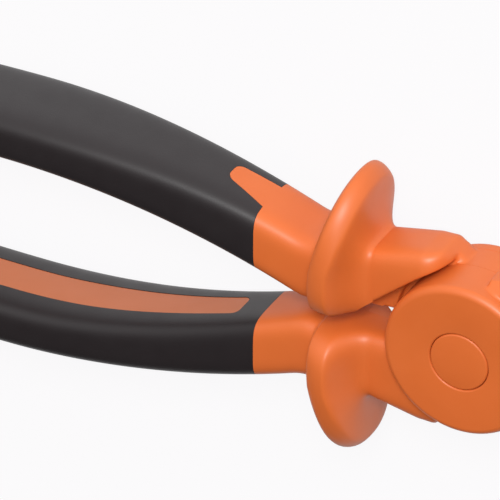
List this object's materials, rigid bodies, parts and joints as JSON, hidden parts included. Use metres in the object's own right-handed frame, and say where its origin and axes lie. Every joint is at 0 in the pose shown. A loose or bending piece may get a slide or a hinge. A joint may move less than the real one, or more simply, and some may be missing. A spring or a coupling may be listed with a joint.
{
  "type": "cable-cutting pliers",
  "caption": "Insulated cable-cutting pliers with bowed soft-grip handles, flared hand guards, a round covered lap joint and curved bypass cutting jaws.",
  "frame": {"origin": "centre of the rear joint disc's flat outer face, on the pivot axis", "axes": "+X from the pivot to the jaws, +Y to the upper handle, +Z along the pivot axis and out of the front joint disc"},
  "size_m": [0.2214, 0.0658, 0.0292],
  "materials": {
    "insulation_plastic": "satin moulded plastic",
    "grip_rubber": "matte soft-touch",
    "inlay_plastic": "satin soft plastic",
    "tool_steel": "ground",
    "bearing_bronze": "plain",
    "fastener_steel": "blackened"
  },
  "bodies": {
    "lower_half": {"lower_lever": "tool_steel", "lower_head_jacket": "insulation_plastic", "lower_handle_sleeve": "insulation_plastic", "lower_grip": "grip_rubber", "lower_grip_inlay": "inlay_plastic", "front_joint_cap": "insulation_plastic", "front_cap_plug": "insulation_plastic", "pivot_bolt": "fastener_steel", "pivot_bush": "bearing_bronze", "lap_washer": "bearing_bronze", "bolt_washer": "fastener_steel", "nut_washer": "fastener_steel", "pivot_nut": "fastener_steel"},
    "upper_half": {"upper_lever": "tool_steel", "upper_head_jacket": "insulation_plastic", "upper_handle_sleeve": "insulation_plastic", "upper_grip": "grip_rubber", "upper_grip_inlay": "inlay_plastic", "rear_joint_cap": "insulation_plastic", "rear_cap_plug": "insulation_plastic"}
  },
  "joints": [
    {"name": "pivot", "type": "hinge", "parent": "lower_half", "child": "upper_half", "pos_m": [0, 0, 0.01], "axis": [0, 0, 1], "range_deg": [-25, 6]}
  ]
}
